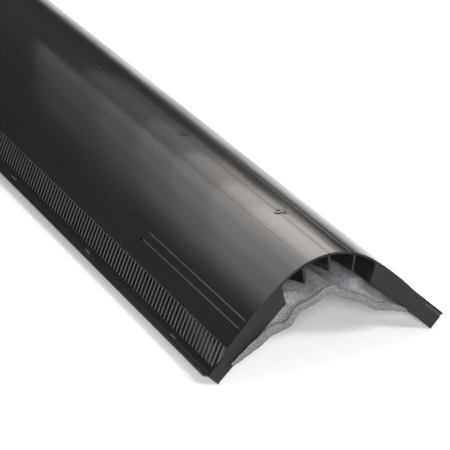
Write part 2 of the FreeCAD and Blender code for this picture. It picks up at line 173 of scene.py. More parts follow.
TAB_SIZE = (8.5 * MM, 2.2 * MM, 4.0 * MM)
TAB_FIRST = 85.0 * MM
TAB_PITCH = 186.0 * MM
SCORE_OFFSET = 21.2 * MM
SCORE_SECTION = (1.1 * MM, 0.25 * MM)
BOSS_RADIUS = 4.0 * MM
BOSS_HEIGHT = 0.8 * MM
BOSS_PIT = 1.8 * MM
BOSS_FIRST = 92.0 * MM
BOSS_PITCH = 192.5 * MM
BOSS_PAIRS = 3
PIP_RADIUS = 2.2 * MM
PIP_PIT = 1.0 * MM
PIP_PLACE = (3.8 * MM, 4.6 * MM)
PIT_SHARE = 0.75                # depth of a pit, as a share of the height of its boss
NAIL_RADIUS = 2.0 * MM
NAIL_PLACE = (198.0 * MM, 104.3 * MM)
NAIL_CUT = 4.0                  # length of the nail cutters, in sheets


# The bend that turns the flat moulding into the vent
def baffle_out(cover):
    """Ridge line to the outer face of the baffle, measured flat."""
    return cover.reach + cover.run + cover.gutter + cover.wall


def crown_end(cover):
    """Ridge line to the end of the bent crown, measured flat."""
    return cover.crown * cover.pitch


def tilt_base(cover):
    """Where the ridge line of the tilted roof deck lies: (across, up)."""
    inner = cover.crown - cover.height
    shift = inner * math.sin(cover.pitch) - crown_end(cover) * math.cos(cover.pitch)
    return shift, baffle_out(cover) * math.sin(cover.pitch)


def crown_centre(cover):
    """Height of the axis of the bent crown."""
    inner = cover.crown - cover.height
    rise = tilt_base(cover)[1]
    return rise - inner * math.cos(cover.pitch) - crown_end(cover) * math.sin(cover.pitch)


def bent(cover, place):
    """Where a flat place lies on the bent vent."""
    along, across, up = place
    up += belly(cover, across) * up / cover.height
    far = abs(across)
    side = -1.0 if across < 0.0 else 1.0
    if far <= crown_end(cover):
        radius = cover.crown - cover.height + up
        turn = far / cover.crown
        return Vector((
            along,
            side * radius * math.sin(turn),
            crown_centre(cover) + radius * math.cos(turn),
        ))
    shift, rise = tilt_base(cover)
    slope_out, slope_up = math.cos(cover.pitch), math.sin(cover.pitch)
    return Vector((
        along,
        side * (shift + far * slope_out + up * slope_up),
        rise - far * slope_up + up * slope_out,
    ))


def belly(cover, across):
    """How far the sheet bellies out at a flat distance from the ridge line."""
    start = BELLY_START * crown_end(cover)
    share = (abs(across) - start) / (cover.reach - start)
    return cover.bow * math.sin(math.pi * min(max(share, 0.0), 1.0)) ** 2


# Small modelling helpers
def round_off(bm, geom, offset, steps, affect="EDGES"):
    """Rounds edges or corners by a bevel."""
    bmesh.ops.bevel(
        bm, geom=geom, offset=offset, offset_type="OFFSET", segments=steps,
        profile=0.5, affect=affect, material=-1, clamp_overlap=True)


def draw_out(bm, length):
    """Draws all faces out along the vent."""
    drawn = bmesh.ops.extrude_face_region(bm, geom=bm.faces[:])
    moved = [item for item in drawn["geom"] if isinstance(item, bmesh.types.BMVert)]
    bmesh.ops.translate(bm, verts=moved, vec=(length, 0.0, 0.0))


def add_section(bm, points, start, length, rounding=0.0):
    """A closed section of (across, up) points, its corners rounded, drawn out along the vent."""
    part = bmesh.new()
    corners = [part.verts.new((start, across, up)) for across, up in points]
    part.faces.new(corners)
    if rounding:
        round_off(part, corners, rounding, 3, "VERTICES")
    wide = [edge for edge in part.edges if edge.calc_length() > WIDE_EDGE]
    bmesh.ops.subdivide_edges(part, edges=wide, cuts=WIDE_CUTS)
    draw_out(part, length)
    bmesh.ops.recalc_face_normals(part, faces=part.faces[:])
    pour(bm, part)


def pour(bm, part):
    """Adds one bmesh to another and frees it."""
    mesh = bpy.data.meshes.new("part")
    part.to_mesh(mesh)
    part.free()
    bm.from_mesh(mesh)
    bpy.data.meshes.remove(mesh)


def add_block(bm, low, size):
    """A block from its low corner, with softened edges."""
    place = Matrix.Translation(Vector(low) + Vector(size) / 2.0)
    made = bmesh.ops.create_cube(bm, size=1.0, matrix=place @ Matrix.Diagonal((*size, 1.0)))
    edges = list({edge for vert in made["verts"] for edge in vert.link_edges})
    round_off(bm, edges, SOFTEN, 1)


def add_bar(bm, low, size, turn, shoulder):
    """A bar from its low corner, turned about that corner, with rounded shoulders along its upper face."""
    place = Matrix.Translation(low) @ turn @ Matrix.Translation(Vector(size) / 2.0)
    made = bmesh.ops.create_cube(bm, size=1.0, matrix=place @ Matrix.Diagonal((*size, 1.0)))
    upwards = turn @ Vector((0.0, 0.0, 1.0))
    upper = sorted(made["verts"], key=lambda vert: vert.co.dot(upwards))[4:]
    edges = [
        edge for edge in {edge for vert in upper for edge in vert.link_edges}
        if all(vert in upper for vert in edge.verts) and abs(edge.calc_length() - size[1]) < ROOT
    ]
    round_off(bm, edges, shoulder, 3)


def add_bead(bm, across, start, length, section, level):
    """A low rounded bead along the vent, on a face at a level."""
    width, height = section
    turns = [math.pi * step / BEAD_STEPS for step in range(BEAD_STEPS + 1)]
    rounded = [(across + math.cos(turn) * width / 2.0, level + math.sin(turn) * height) for turn in turns]
    foot = [(across - width / 2.0, level - ROOT), (across + width / 2.0, level - ROOT)]
    add_section(bm, rounded + foot, start, length)


def add_disc(bm, place, radius, pit):
    """A round boss rooted in a place, with a softened rim and a pit in its middle."""
    height = BOSS_HEIGHT + ROOT
    middle = Matrix.Translation(Vector(place) + Vector((0.0, 0.0, height / 2.0)))
    made = bmesh.ops.create_cone(
        bm, cap_ends=True, cap_tris=False, segments=32, radius1=radius, radius2=radius,
        depth=height, matrix=middle)
    top = max(
        {face for vert in made["verts"] for face in vert.link_faces},
        key=lambda face: face.calc_center_median().z)
    rim = list(top.edges)
    bmesh.ops.inset_region(bm, faces=[top], thickness=radius - pit)
    drawn = bmesh.ops.extrude_discrete_faces(bm, faces=[top])
    bmesh.ops.translate(bm, verts=drawn["faces"][0].verts[:], vec=(0.0, 0.0, -PIT_SHARE * height))
    round_off(bm, rim, SOFTEN, 2)


def mirror(bm, axis):
    """Adds the mirror image of all there is, and turns every face outwards."""
    geom = bm.verts[:] + bm.edges[:] + bm.faces[:]
    bmesh.ops.mirror(bm, geom=geom, matrix=Matrix.Identity(4), merge_dist=-1.0, axis=axis)
    bmesh.ops.recalc_face_normals(bm, faces=bm.faces[:])


def spaced(first, pitch, room):
    """Places from a first one, a pitch apart, that end within the room."""
    return [first + number * pitch for number in range(int((room - first) // pitch) + 1)]


def both_ends(cover, inset):
    """Places an inset from each end of the vent."""
    return [cover.length / 2.0 - inset, inset - cover.length / 2.0]


def new_object(name, bm):
    """An object of the scene, made of a bmesh, which is freed."""
    mesh = bpy.data.meshes.new(name)
    bm.to_mesh(mesh)
    bm.free()
    item = bpy.data.objects.new(name, mesh)
    bpy.context.scene.collection.objects.link(item)
    return item


def finish_piece(name, bm, material, node, crisp=SHARP):
    """Makes a piece of a bmesh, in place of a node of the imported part."""
    for face in bm.faces:
        face.smooth = True
    for edge in bm.edges:
        edge.smooth = edge.calc_face_angle(0.0) < crisp
    piece = new_object(name, bm)
    piece.data.materials.append(material)
    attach(piece, "root")
    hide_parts(node)
    return piece


# The cover
def louvre_slope(cover):
    """Slope of the louvre panel on the flat flank."""
    return math.atan2(cover.drop, cover.run)


def louvre_point(cover, distance, depth):
    """A place on the louvre panel: a distance down its slope and a depth below its face."""
    slope = louvre_slope(cover)
    across = cover.reach + distance * math.cos(slope) - depth * math.sin(slope)
    up = cover.height - cover.roll - distance * math.sin(slope) - depth * math.cos(slope)
    return across, up


def louvre_under(cover, up):
    """Where the underside of the louvre panel reaches a height."""
    across, level = louvre_point(cover, 0.0, cover.wall)
    return across + (level - up) / math.tan(louvre_slope(cover)), up


def build_sheet(cover):
    """The top sheet with its crisp edges and the strips above the slots, flat."""
    bm = bmesh.new()
    under = cover.height - cover.sheet
    half = [
        (cover.reach - SHEET_EDGE, cover.height),
        (cover.reach, cover.height - cover.roll),
        louvre_point(cover, SLOT_MARGIN, 0.0),
        louvre_point(cover, SLOT_MARGIN, cover.wall),
        louvre_under(cover, under),
    ]
    outline = half + [(-across, up) for across, up in reversed(half)]
    start = -cover.length / 2.0
    corners = [bm.verts.new((start, across, up)) for across, up in outline]
    bm.faces.new(corners)
    outer = [corner for corner in corners if corner.co.z > cover.height - cover.roll - ROOT]
    round_off(bm, outer, SHEET_ROUND, 3, "VERTICES")
    draw_out(bm, cover.length)
    wide = [edge for edge in bm.edges if abs(edge.verts[0].co.y - edge.verts[1].co.y) > cover.reach]
    bmesh.ops.subdivide_edges(bm, edges=wide, cuts=SHEET_CUTS)
    bmesh.ops.recalc_face_normals(bm, faces=bm.faces[:])
    return cut_nail_holes(cover, bm)


def cut_nail_holes(cover, bm):
    """Cuts the nail holes through the flat sheet."""
    cutters = bmesh.new()
    inset, across = NAIL_PLACE
    for along in both_ends(cover, inset):
        for side in (-1.0, 1.0):
            place = Matrix.Translation((along, side * across, cover.height))
            bmesh.ops.create_cone(
                cutters, cap_ends=True, cap_tris=False, segments=24, radius1=NAIL_RADIUS,
                radius2=NAIL_RADIUS, depth=NAIL_CUT * cover.sheet, matrix=place)
    held = [new_object("sheet", bm), new_object("nail_cutters", cutters)]
    cut = held[0].modifiers.new("nail_holes", "BOOLEAN")
    cut.operation = "DIFFERENCE"
    cut.solver = "EXACT"
    cut.object = held[1]
    bpy.context.view_layer.update()
    whole = held[0].evaluated_get(bpy.context.evaluated_depsgraph_get())
    result = bmesh.new()
    result.from_mesh(whole.to_mesh())
    whole.to_mesh_clear()
    for item in held:
        mesh = item.data
        bpy.data.objects.remove(item)
        bpy.data.meshes.remove(mesh)
    return result


def add_gutter(bm, cover):
    """Strip below the slots, gutter floor and baffle in one section, and the flared lip on the baffle."""
    long_side = math.hypot(cover.run, cover.drop)
    floor_up = cover.height - cover.roll - cover.drop
    inner = cover.reach + cover.run + cover.gutter
    outer = inner + cover.wall
    lip_tip = cover.height - LIP_DROP
    lip_base = lip_tip - cover.lip_rise
    add_section(bm, [
        louvre_point(cover, long_side - SLOT_FOOT, 0.0),
        louvre_point(cover, long_side, 0.0),
        (inner, floor_up),
        (inner, lip_base),
        (outer, lip_base),
        (outer, 0.0),
        (inner, 0.0),
        (inner, floor_up - cover.wall),
        louvre_under(cover, floor_up - cover.wall),
        louvre_point(cover, long_side - SLOT_FOOT, cover.wall),
    ], -cover.length / 2.0, cover.length, GUTTER_ROUND)
    slant = cover.lip_flare / cover.lip_rise
    add_section(bm, [
        (inner - ROOT * slant, lip_base - ROOT),
        (inner + cover.lip_flare, lip_tip),
        (outer + cover.lip_flare, lip_tip),
        (outer - ROOT * slant, lip_base - ROOT),
    ], LIP_END_GAP - cover.length / 2.0, cover.length - 2.0 * LIP_END_GAP, LIP_ROUND)


def add_bars(bm, cover):
    """The bars between the louvre slots."""
    long_side = math.hypot(cover.run, cover.drop)
    usable = cover.length - 2.0 * SLOT_END_GAP - cover.slot_width
    gaps = int(usable // cover.slot_pitch)
    first_bar = cover.slot_width - (gaps * cover.slot_pitch + cover.slot_width) / 2.0
    turn = Matrix.Rotation(-louvre_slope(cover), 4, "X")
    reach = long_side - SLOT_MARGIN - SLOT_FOOT + 2.0 * ROOT
    thick = BAR_DEPTH - 2.0 * SHY
    size = (cover.slot_pitch - cover.slot_width - 2.0 * BAR_TAPER, reach, thick)
    across, up = louvre_point(cover, SLOT_MARGIN - ROOT, BAR_DEPTH - SHY)
    for number in range(gaps):
        along = first_bar + number * cover.slot_pitch
        add_bar(bm, (along + BAR_TAPER, across, up), size, turn, BAR_SHOULDER)
    margin = cover.length / 2.0 - first_bar - gaps * cover.slot_pitch
    for along in (2.0 * SHY - cover.length / 2.0, cover.length / 2.0 - margin - 2.0 * SHY):
        add_bar(bm, (along, across, up), (margin, reach, thick), turn, END_BAR_SHOULDER)


def add_end_walls(bm, cover):
    """The flat part of the end plugs."""
    middle = cover.height - cover.sheet / 2.0
    outline = [
        (FOLD_START, middle),
        (cover.reach - SILL_INSET, middle),
        (cover.reach + SILL_RUN, cover.height - SILL_DROP),
        (baffle_out(cover), cover.height - SILL_DROP),
        (baffle_out(cover), WALL_LIFT),
        (FOLD_START + FOLD_SLANT, WALL_LIFT),
    ]
    for start in (SHY - cover.length / 2.0, cover.length / 2.0 - cover.end_wall - SHY):
        add_section(bm, outline, start, cover.end_wall, SOFTEN)


def add_ribs(bm, cover):
    """Support ribs behind the louvres, spaced out from the middle of the vent."""
    under = cover.height - cover.roll - cover.drop - cover.wall / 2.0
    middle = cover.height - cover.sheet / 2.0
    inner = cover.reach + cover.run + cover.gutter + cover.wall / 2.0
    outline = [
        (RIB_ROOT, middle),
        (louvre_under(cover, cover.height - cover.sheet)[0], middle),
        (louvre_under(cover, under)[0], under),
        (inner, under),
        (inner, WALL_LIFT),
        (RIB_TOE, WALL_LIFT),
    ]
    each_way = int((cover.length / 2.0 - RIB_PITCH / 2.0) // RIB_PITCH)
    for number in range(-each_way, each_way + 1):
        add_section(bm, outline, number * RIB_PITCH - RIB_WALL / 2.0, RIB_WALL, SOFTEN)


def add_flank_relief(bm, cover):
    """Guide lines on the sheet and stop tabs behind the lip."""
    half = cover.length / 2.0
    for along in (GUIDE_INSET - half, half - GUIDE_INSET - GUIDE_LENGTH):
        for across in GUIDES:
            add_bead(bm, across, along, GUIDE_LENGTH, GUIDE_SECTION, cover.height)
    long_side, thick, tall = TAB_SIZE
    inner = cover.reach + cover.run + cover.gutter - thick
    floor_up = cover.height - cover.roll - cover.drop - ROOT
    for inset in spaced(TAB_FIRST, TAB_PITCH, half):
        for along in both_ends(cover, inset):
            low = (along - long_side / 2.0, inner, floor_up)
            add_block(bm, low, (long_side, thick + ROOT, tall + ROOT))


def add_crown_relief(bm, cover):
    """Score lines along the bend and the row of bosses on the ridge line."""
    for step in (-1.0, 0.0, 1.0):
        start = SHY - cover.length / 2.0
        add_bead(bm, step * SCORE_OFFSET, start, cover.length - 2.0 * SHY, SCORE_SECTION, cover.height)
    for number in range(BOSS_PAIRS):
        for along in both_ends(cover, BOSS_FIRST + number * BOSS_PITCH):
            place = (along, 0.0, cover.height - ROOT)
            add_disc(bm, place, BOSS_RADIUS, BOSS_PIT)
            place = (along + PIP_PLACE[0], PIP_PLACE[1], cover.height - ROOT)
            add_disc(bm, place, PIP_RADIUS, PIP_PIT)


def lean(cover, place, radius):
    """Slides a place of the crown's plan down its leaning fold, to a radius from the crown's axis."""
    depth, across = place
    square = across ** 2 + PLEAT_MEET ** 2
    middle = across ** 2 + cover.crown * PLEAT_MEET
    outside = across ** 2 + cover.crown ** 2 - radius ** 2
    share = (middle - math.sqrt(max(middle ** 2 - square * outside, 0.0))) / square
    top = crown_centre(cover) + cover.crown
    return Vector((
        cover.length / 2.0 - depth * (1.0 - share),
        across * (1.0 - share),
        top - PLEAT_MEET * share,
    ))


def build_pleats(cover):
    """The bellows of both end plugs, already bent."""
    bm = bmesh.new()
    folds = 2 * cover.pleats
    corners = []
    for fold in range(folds + 1):
        middle = (fold - folds / 2.0) * cover.pleat_pitch / 2.0
        depth = cover.pleat_depth if fold % 2 else 0.0
        for nose in (-PLEAT_NOSE / 2.0, PLEAT_NOSE / 2.0):
            corners.append(bm.verts.new((depth, middle + nose, 0.0)))
    line = [bm.edges.new(pair) for pair in zip(corners, corners[1:])]
    faces_long = [edge for edge in line if edge.calc_length() > 2.0 * PLEAT_NOSE]
    bmesh.ops.subdivide_edges(bm, edges=faces_long, cuts=PLEAT_CUTS)
    upper = bm.verts[:]
    bmesh.ops.extrude_edge_only(bm, edges=bm.edges[:])
    for vert in bm.verts:
        radius = cover.crown - cover.sheet / 2.0 if vert in upper else cover.crown - cover.pleat_drop
        vert.co = lean(cover, vert.co.xy, radius)
    bmesh.ops.recalc_face_normals(bm, faces=bm.faces[:])
    bmesh.ops.solidify(bm, geom=bm.faces[:], thickness=PLEAT_WALL)
    mirror(bm, "X")
    return bm


def build_cover(cover):
    """The whole moulding: built flat, bent over the ridge, with its bellows."""
    bm = bmesh.new()
    add_gutter(bm, cover)
    add_bars(bm, cover)
    add_end_walls(bm, cover)
    add_ribs(bm, cover)
    add_flank_relief(bm, cover)
    mirror(bm, "Y")
    add_crown_relief(bm, cover)
    pour(bm, build_sheet(cover))
    for vert in bm.verts:
        vert.co = bent(cover, vert.co)
    pour(bm, build_pleats(cover))
    return bm


# The fibre mat; left and right are as seen from outside each end
MAT_GAP = 0.3 * MM
MAT_OVERHANG = 5.0 * MM
MAT_STEPS = (260, 130)
MAT_CROWDING = 0.94 * math.pi / 2.0         # how strongly the grid lines crowd towards the ends
RIM_ANGLE = math.radians(60.0)
RIM_ROUND = 0.6 * MM
FUZZ = ((180.0, 0.22), (520.0, 0.14))       # roughness of the mat: noise scale, height in millimetres
APEX_ROUND = 7.0 * MM
APEX_LOSS = 0.25
CUT_ROUND = 3.2 * MM
CUT_LOSS = (0.3, 0.1)                       # shares of the thickness lost at the cut ends: above, below
WAVE_FADE = 0.35                            # the waves die away over this share of the hanging line
WAVE_SHARE = 0.6                            # heights as shares of the slack: waves, sag, crumples
WAVE_SAG = 0.4
CRUMPLE = 0.7
WAVE_PHASES = (0.3, 0.05)                   # where the waves start on the flanks
WAVE_DRIFT = 0.22
DRIFT_NOISE = (5.0, 3.0, 0.4)               # noise that shifts the waves: scale along, per side, level
CRUMPLE_NOISE = (9.0, 18.0, 1.7)            # noise that crumples the waves: scale along, across, level
FEATHERS = ((78.0 * MM, 34.0 * MM), (60.0 * MM, 34.0 * MM))    # where the free end thins out: start, width
FEATHER_LOSS = 0.8
FEATHER_CURVE = 1.3
PINCHES = ((81.0 * MM, 11.0 * MM), (74.0 * MM, 15.0 * MM))    # where the walls pinch the mat: start, width
PINCH_LOSS = 0.92
PINCH_REACH = 30.0 * MM                     # how far in from the ends the mat is pinched
PINCH_EASE = 0.6
CORNER_SPREAD = 0.06
CORNER_DRAW = (9.0 * MM, 86.0 * MM, 9.0 * MM)    # how far the right corner draws back: most, start, width
BULGE_FROM = 2.0 * MM
BULGE_EASE = 14.0 * MM
BULGE_END = 260.0 * MM
BULGE_SPAN = (14.0 * MM, 46.0 * MM)
OPEN_EASE = 45.0 * MM                       # length over which the mat settles from its free end
WALL_SPAN = (56.0 * MM, 66.0 * MM)          # from here on, across, the end walls hold the mat down
END_PUFFS = (                               # how much thicker the mat is at its free ends, left and right
    [(at * MM, more * MM) for at, more in ((0.0, 2.5), (43.0, 2.5), (60.0, 6.2), (112.0, 6.0))],
    [(at * MM, more * MM) for at, more in ((0.0, 2.5), (112.0, 2.5))],
)
END_FOLDS = (                               # lift of the free ends off the hanging line, left and right
    [(at * MM, up * MM) for at, up in (
        (0.0, 4.3), (14.0, 2.7), (34.0, 5.3), (48.0, -1.1), (57.0, 0.7), (67.0, 2.7), (81.0, 0.3),
        (88.0, 2.7), (98.0, 6.1), (112.0, 11.5))],
    [(at * MM, up * MM) for at, up in (
        (0.0, 4.3), (8.0, 1.3), (28.0, 0.5), (39.0, 0.0), (53.0, -3.1), (77.0, 0.6), (91.0, 3.8))],
)


def on_side(pair, along, side):
    """The left or the right one of a pair, at the nearer end."""
    return pair[0] if side * along < 0.0 else pair[1]


def past_end(cover, along):
    """How far a place lies past the end of the cover; it is negative under the cover."""
    return abs(along) - cover.length / 2.0


def mat_line(cover, mat):
    """The hanging line of the mat's upper face: apex, knee and edge, as (across, up)."""
    shift, rise = tilt_base(cover)
    along_out = Vector((math.cos(cover.pitch), -math.sin(cover.pitch)))
    inwards = Vector((-math.sin(cover.pitch), -math.cos(cover.pitch)))
    base = Vector((shift, rise)) + inwards * (MAT_GAP - WALL_LIFT)
    knee = base + along_out * (mat.reach - mat.seat)
    edge = base + along_out * mat.reach
    apex = Vector((0.0, crown_centre(cover) + cover.crown - mat.apex))
    return apex, knee, edge


def mat_width(cover, mat):
    """Width that the mat is cut to."""
    apex, knee, edge = mat_line(cover, mat)
    return 2.0 * ((knee - apex).length + (edge - knee).length)


def eased(value):
    """A smooth step from 0 to 1."""
    share = min(max(value, 0.0), 1.0)
    return share * share * (3.0 - 2.0 * share)


def fold_height(folds, far):
    """Height of the folds at a distance from the ridge line, smoothed between the folds."""
    for (near_at, near_up), (far_at, far_up) in zip(folds, folds[1:]):
        if far <= far_at:
            return near_up + (far_up - near_up) * eased((far - near_at) / (far_at - near_at))
    return folds[-1][1]


def end_lift(cover, along, far, side):
    """How far the free end of the mat stands above its hanging line; under the end wall it stays down."""
    out = past_end(cover, along)
    open_share = eased((out + OPEN_EASE) / OPEN_EASE)
    wall_share = eased(out / MAT_OVERHANG)
    under_wall = eased((far - WALL_SPAN[0]) / (WALL_SPAN[1] - WALL_SPAN[0]))
    folds = on_side(END_FOLDS, along, side)
    return fold_height(folds, far) * (open_share + (wall_share - open_share) * under_wall)


def feather(cover, along, far, side):
    """Share of its full thickness that the free end of the mat keeps towards its long edges."""
    start, width = on_side(FEATHERS, along, side)
    share = min(max((far - start) / width, 0.0), 1.0)
    free = eased(past_end(cover, along) / MAT_OVERHANG)
    return 1.0 - FEATHER_LOSS * share ** FEATHER_CURVE * free


def pinch(cover, along, far, side):
    """Share of its thickness that the mat loses under the end walls, towards its corners."""
    start, width = on_side(PINCHES, along, side)
    out = past_end(cover, along)
    near_end = eased((out + PINCH_REACH) / (PINCH_EASE * PINCH_REACH)) - eased(out / MAT_OVERHANG)
    return PINCH_LOSS * near_end * eased((far - start) / width)


def corner(cover, along, far, side):
    """Where the corners of the free end go: the left one spreads, the right one draws back."""
    near_end = eased((past_end(cover, along) + OPEN_EASE) / OPEN_EASE)
    if side * along < 0.0:
        return along, far * (1.0 + CORNER_SPREAD * near_end)
    draw, start, width = CORNER_DRAW
    drawn = draw * near_end * eased((far - start) / width)
    return math.copysign(abs(along) - drawn, along), far


def bulge(cover, mat, along, far):
    """How far the mat rises towards the roof deck, just inside its free ends."""
    apex, knee, edge = mat_line(cover, mat)
    first, second = (knee - apex).normalized(), (edge - knee).normalized()
    room = max(0.0, (knee - apex).length - far) * abs(first.cross(second))
    inwards = -past_end(cover, along)
    near_end = eased((inwards - BULGE_FROM) / BULGE_EASE) * eased((BULGE_END - inwards) / BULGE_END)
    return room * near_end * eased((far - BULGE_SPAN[0]) / (BULGE_SPAN[1] - BULGE_SPAN[0]))


def end_share(cover, along):
    """0 on the mat and 1 at its very end, over the rounding of the cut edge."""
    return min(max((past_end(cover, along) - MAT_OVERHANG + CUT_ROUND) / CUT_ROUND, 0.0), 1.0)


def slack_wave(mat, along, across, far, leg):
    """Height of the slack waves, which die away towards the knee of the hanging line."""
    side = -1.0 if across < 0.0 else 1.0
    fade = min(1.0, max(0.0, (leg - far) / (WAVE_FADE * leg)))
    drift = noise.noise(Vector((along * DRIFT_NOISE[0], side * DRIFT_NOISE[1], DRIFT_NOISE[2])))
    phase = far / mat.wave + WAVE_DRIFT * drift + WAVE_PHASES[0 if side < 0.0 else 1]
    ripple = WAVE_SHARE * math.sin(2.0 * math.pi * phase) - WAVE_SAG
    crumple = noise.noise(Vector((along * CRUMPLE_NOISE[0], across * CRUMPLE_NOISE[1], CRUMPLE_NOISE[2])))
    return mat.slack * fade * (ripple + CRUMPLE * crumple)


def hang(cover, mat, along, across, depth):
    """Where a place of the flat mat hangs; depth is 0 on its upper face and 1 on its lower face."""
    apex, knee, edge = mat_line(cover, mat)
    side = -1.0 if across < 0.0 else 1.0
    along, far = corner(cover, along, abs(across), side)
    leg = (knee - apex).length
    if far <= leg:
        flat = apex.lerp(knee, far / leg)
        run = (knee - apex).normalized()
    else:
        flat = knee + (edge - knee).normalized() * (far - leg)
        run = (edge - knee).normalized()
    outwards = Vector((-run.y, run.x))
    out = past_end(cover, along)
    lift = slack_wave(mat, along, across, far, leg) * eased(-out / OPEN_EASE)
    lift += end_lift(cover, along, far, side)
    lift += bulge(cover, mat, along, far)
    puff = fold_height(on_side(END_PUFFS, along, side), far) * eased(out / MAT_OVERHANG)
    held = pinch(cover, along, far, side)
    kept = (mat.thickness + puff) * feather(cover, along, far, side) * (1.0 - held)
    rounded = 1.0 - math.sqrt(1.0 - end_share(cover, along) ** 2)
    upper = kept * (1.0 - CUT_LOSS[0] * rounded)
    lower = kept * CUT_LOSS[1] * rounded
    level = lift - mat.thickness * (1.0 - held) + upper + (lower - upper) * depth
    place = flat + outwards * level
    if far < APEX_ROUND:
        place.y -= (APEX_ROUND - far) ** 2 / APEX_ROUND * APEX_LOSS
    return Vector((along, side * place.x, place.y))


def build_mat(cover, mat):
    """The slack mat: a flat slab, hung in waves and roughened, with its round cut edges."""
    bm = bmesh.new()
    half_long = cover.length / 2.0 + MAT_OVERHANG
    half_wide = mat_width(cover, mat) / 2.0
    cut = bm.verts.layers.float.new("cut")
    bmesh.ops.create_grid(bm, x_segments=MAT_STEPS[0], y_segments=MAT_STEPS[1], size=1.0)
    upper = set(bm.verts)
    bmesh.ops.extrude_face_region(bm, geom=bm.faces[:], use_keep_orig=True)
    for vert in bm.verts:
        along = math.sin(vert.co.x * MAT_CROWDING) / math.sin(MAT_CROWDING) * half_long
        # the cut layer marks where the felt paints shade on the cut ends
        vert[cut] = end_share(cover, along)
        vert.co = hang(cover, mat, along, vert.co.y * half_wide, 0.0 if vert in upper else 1.0)
    bmesh.ops.recalc_face_normals(bm, faces=bm.faces[:])
    rim = [edge for edge in bm.edges if edge.calc_face_angle(0.0) > RIM_ANGLE]
    round_off(bm, rim, RIM_ROUND, 3)
    bm.normal_update()
    for vert in bm.verts:
        fuzz = sum(noise.noise(vert.co * scale) * height for scale, height in FUZZ)
        vert.co += vert.normal * fuzz * MM
    return bm


# Finishes; a noise is (scale, detail, stretch) and a bump is (strength, distance)
NOISE_RANGE = (0.3, 0.7)                    # where noise mostly lies
STREAKS = (60.0, 4.0, (0.12, 1.0, 1.0))
CLOUDS = (9.0, 3.0)
GRAIN = (1400.0, 2.0)
STREAK_SHADES = (0.82, 1.18)                # the streaks, darker and lighter than the plastic
WAVY_BUMP = (0.08, 4.0 * MM)
GRAIN_BUMP = (0.006, 0.2 * MM)
GLOSS_DRIFT = (-0.03, 0.05)
PLASTIC_IOR = 1.48
MATT_EDGE = 0.3 * MM                        # the end faces are matt, this far in from the ends
MATT_ROUGHNESS = 0.9
STRANDS = (900.0, 3.0, (1.0, 0.35, 1.0))
CROSSED = (800.0, 3.0, (0.35, 1.0, 0.6))
SPECKLE_STOPS = (0.36, 0.5, 0.64)           # where dark, middle and light fibres lie in the noise
SPECKLE_BUMP = (0.4, 0.5 * MM)
MOTTLE = (120.0, 5.0)
MOTTLE_CASTS = ((0.35, (0.85, 0.84, 0.89)), (0.65, (1.0, 0.985, 0.96)))
MOTTLE_BUMP = (0.2, 1.5 * MM)
PAINTED_CUT_SHADE = (0.67, 0.655, 0.64)             # painted shade on the cut ends, which the key light lights more than the upper face; partly the darker cut fibres
FELT_ROUGHNESS = 0.95
FELT_SPECULAR = 0.2
FELT_SHEEN = 0.05
FLOOR_NOISE = (3.0, 2.0)
FLOOR_SHADE = 0.99
FLOOR_ROUGHNESS = 0.9
FLOOR_SPECULAR = 0.1


def new_material(name):
    """An empty node material with its shader, coordinates and a way to add nodes."""
    material = bpy.data.materials.new(name)
    material.use_nodes = True
    nodes = material.node_tree.nodes
    links = material.node_tree.links
    shader = nodes["Principled BSDF"]
    place = nodes.new("ShaderNodeTexCoord").outputs["Object"]
    return material, nodes, links, shader, place


def add_noise(nodes, links, place, scale, detail, stretch=(1.0, 1.0, 1.0)):
    """Noise over object coordinates, stretched along the axes."""
    mapping = nodes.new("ShaderNodeMapping")
    mapping.inputs["Scale"].default_value = stretch
    links.new(place, mapping.inputs["Vector"])
    texture = nodes.new("ShaderNodeTexNoise")
    texture.inputs["Scale"].default_value = scale
    texture.inputs["Detail"].default_value = detail
    links.new(mapping.outputs["Vector"], texture.inputs["Vector"])
    return texture.outputs["Fac"]


def add_ramp(nodes, links, value, stops):
    """A colour ramp from (position, colour) stops."""
    ramp = nodes.new("ShaderNodeValToRGB")
    while len(ramp.color_ramp.elements) < len(stops):
        ramp.color_ramp.elements.new(0.5)
    for element, (position, shade) in zip(ramp.color_ramp.elements, stops):
        element.position = position
        element.color = (*shade, 1.0)
    links.new(value, ramp.inputs["Fac"])
    return ramp.outputs["Color"]


def add_range(nodes, links, value, low, high):
    """Maps a noise value to a range."""
    ranged = nodes.new("ShaderNodeMapRange")
    ranged.inputs["From Min"].default_value = NOISE_RANGE[0]
    ranged.inputs["From Max"].default_value = NOISE_RANGE[1]
    ranged.inputs["To Min"].default_value = low
    ranged.inputs["To Max"].default_value = high
    links.new(value, ranged.inputs["Value"])
    return ranged.outputs["Result"]


def add_bump(nodes, links, value, strength, distance, before=None):
    """A bump from a height value, on top of an earlier one."""
    bump = nodes.new("ShaderNodeBump")
    bump.inputs["Strength"].default_value = strength
    bump.inputs["Distance"].default_value = distance
    links.new(value, bump.inputs["Height"])
    if before:
        links.new(before, bump.inputs["Normal"])
    return bump.outputs["Normal"]


def scaled(shade, factor):
    """A colour made darker or lighter."""
    return tuple(min(1.0, channel * factor) for channel in shade)


def add_tint(nodes, links, shade):
    """A node that multiplies a colour by its second input."""
    tint = nodes.new("ShaderNodeMix")
    tint.data_type = "RGBA"
    tint.blend_type = "MULTIPLY"
    links.new(shade, tint.inputs["A"])
    return tint


def end_mask(nodes, links, place):
    """1 on the end faces of the vent and 0 elsewhere."""
    apart = nodes.new("ShaderNodeSeparateXYZ")
    links.new(place, apart.inputs["Vector"])
    outer = nodes.new("ShaderNodeMath")
    outer.operation = "ABSOLUTE"
    links.new(apart.outputs["X"], outer.inputs[0])
    mask = nodes.new("ShaderNodeMapRange")
    mask.inputs["From Min"].default_value = CAD_HIGH.x - 2.0 * MATT_EDGE
    mask.inputs["From Max"].default_value = CAD_HIGH.x - MATT_EDGE
    links.new(outer.outputs["Value"], mask.inputs["Value"])
    return mask.outputs["Result"]


